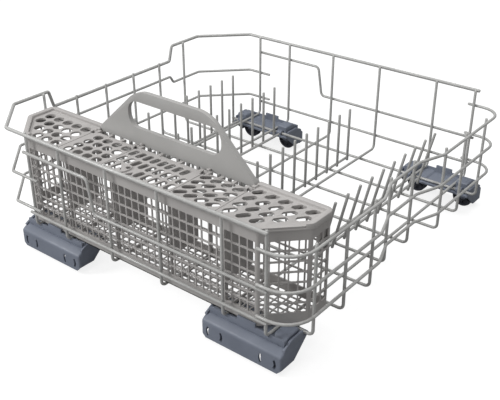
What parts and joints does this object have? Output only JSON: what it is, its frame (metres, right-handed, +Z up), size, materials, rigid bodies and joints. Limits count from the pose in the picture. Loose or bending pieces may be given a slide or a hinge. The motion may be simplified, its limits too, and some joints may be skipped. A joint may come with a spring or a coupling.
{
  "type": "dishwasher lower rack with cutlery basket",
  "caption": "Coated wire dishwasher rack with rows of plate tines, wheel carriers under its corners, and a lidded lattice cutlery basket with an arched handle.",
  "frame": {"origin": "on the ground, in the plan centre of the rack's overall box", "axes": "+X along the cutlery basket, to the right seen from the front; +Y from the basket at the front to the rear; +Z up"},
  "size_m": [0.53, 0.513, 0.2461],
  "materials": {
    "coated_wire": "smooth nylon coating, satin",
    "tub_plastic": "moulded, satin",
    "lid_plastic": "moulded, satin",
    "handle_plastic": "moulded, satin",
    "carrier_plastic": "moulded, satin",
    "wheel_plastic": "moulded, matt"
  },
  "bodies": {
    "rack": {"basket_handle": "handle_plastic", "cross_wire_1": "coated_wire", "cross_wire_2": "coated_wire", "cross_wire_3": "coated_wire", "cross_wire_4": "coated_wire", "cross_wire_5": "coated_wire", "cross_wire_6": "coated_wire", "cutlery_tub": "tub_plastic", "front_clip_wire": "coated_wire", "front_left_wheel_housing": "carrier_plastic", "front_left_wire_saddle": "carrier_plastic", "front_lower_wire": "coated_wire", "front_middle_wire": "coated_wire", "front_right_wheel_housing": "carrier_plastic", "front_right_wire_saddle": "carrier_plastic", "left_lower_wire": "coated_wire", "left_middle_wire": "coated_wire", "long_wire_1": "coated_wire", "long_wire_2": "coated_wire", "long_wire_3": "coated_wire", "long_wire_4": "coated_wire", "long_wire_5": "coated_wire", "long_wire_6": "coated_wire", "rear_clip_wire": "coated_wire", "rear_left_wheel_housing": "carrier_plastic", "rear_left_wire_saddle": "carrier_plastic", "rear_lower_wire": "coated_wire", "rear_middle_wire": "coated_wire", "rear_right_wheel_housing": "carrier_plastic", "rear_right_wire_saddle": "carrier_plastic", "right_lower_wire": "coated_wire", "right_middle_wire": "coated_wire", "right_upper_wire": "coated_wire", "rim_wire": "coated_wire", "tine_row_1": "coated_wire", "tine_row_2": "coated_wire", "tine_row_3": "coated_wire", "tine_row_4": "coated_wire"},
    "front_left_wheel_1": {"front_left_wheel_1": "wheel_plastic"},
    "front_left_wheel_2": {"front_left_wheel_2": "wheel_plastic"},
    "front_right_wheel_1": {"front_right_wheel_1": "wheel_plastic"},
    "front_right_wheel_2": {"front_right_wheel_2": "wheel_plastic"},
    "rear_left_wheel_1": {"rear_left_wheel_1": "wheel_plastic"},
    "rear_left_wheel_2": {"rear_left_wheel_2": "wheel_plastic"},
    "rear_right_wheel_1": {"rear_right_wheel_1": "wheel_plastic"},
    "rear_right_wheel_2": {"rear_right_wheel_2": "wheel_plastic"},
    "lid_1": {"lid_1": "lid_plastic"},
    "lid_2": {"lid_2": "lid_plastic"},
    "lid_3": {"lid_3": "lid_plastic"},
    "lid_4": {"lid_4": "lid_plastic"},
    "lid_5": {"lid_5": "lid_plastic"}
  },
  "joints": [
    {"name": "front_left_wheel_1_spin", "type": "hinge", "parent": "rack", "child": "front_left_wheel_1", "pos_m": [-0.18035, -0.239, 0.016], "axis": [0, 1, 0], "continuous": true},
    {"name": "front_left_wheel_2_spin", "type": "hinge", "parent": "rack", "child": "front_left_wheel_2", "pos_m": [-0.10235, -0.239, 0.016], "axis": [0, 1, 0], "continuous": true},
    {"name": "front_right_wheel_1_spin", "type": "hinge", "parent": "rack", "child": "front_right_wheel_1", "pos_m": [0.15165, -0.239, 0.016], "axis": [0, 1, 0], "continuous": true},
    {"name": "front_right_wheel_2_spin", "type": "hinge", "parent": "rack", "child": "front_right_wheel_2", "pos_m": [0.22965, -0.239, 0.016], "axis": [0, 1, 0], "continuous": true},
    {"name": "rear_left_wheel_1_spin", "type": "hinge", "parent": "rack", "child": "rear_left_wheel_1", "pos_m": [-0.18035, 0.239, 0.016], "axis": [0, 1, 0], "continuous": true},
    {"name": "rear_left_wheel_2_spin", "type": "hinge", "parent": "rack", "child": "rear_left_wheel_2", "pos_m": [-0.10235, 0.239, 0.016], "axis": [0, 1, 0], "continuous": true},
    {"name": "rear_right_wheel_1_spin", "type": "hinge", "parent": "rack", "child": "rear_right_wheel_1", "pos_m": [0.15165, 0.239, 0.016], "axis": [0, 1, 0], "continuous": true},
    {"name": "rear_right_wheel_2_spin", "type": "hinge", "parent": "rack", "child": "rear_right_wheel_2", "pos_m": [0.22965, 0.239, 0.016], "axis": [0, 1, 0], "continuous": true},
    {"name": "lid_1_hinge", "type": "hinge", "parent": "rack", "child": "lid_1", "pos_m": [-0.1657, -0.1757, 0.17289], "axis": [-1, 0, 0], "range_deg": [0, 92]},
    {"name": "lid_2_hinge", "type": "hinge", "parent": "rack", "child": "lid_2", "pos_m": [-0.07695, -0.1757, 0.17289], "axis": [-1, 0, 0], "range_deg": [0, 92]},
    {"name": "lid_3_hinge", "type": "hinge", "parent": "rack", "child": "lid_3", "pos_m": [0.01905, -0.1757, 0.17289], "axis": [-1, 0, 0], "range_deg": [0, 92]},
    {"name": "lid_4_hinge", "type": "hinge", "parent": "rack", "child": "lid_4", "pos_m": [0.1103, -0.1757, 0.17289], "axis": [-1, 0, 0], "range_deg": [0, 92]},
    {"name": "lid_5_hinge", "type": "hinge", "parent": "rack", "child": "lid_5", "pos_m": [0.19375, -0.1757, 0.17289], "axis": [-1, 0, 0], "range_deg": [0, 92]}
  ]
}
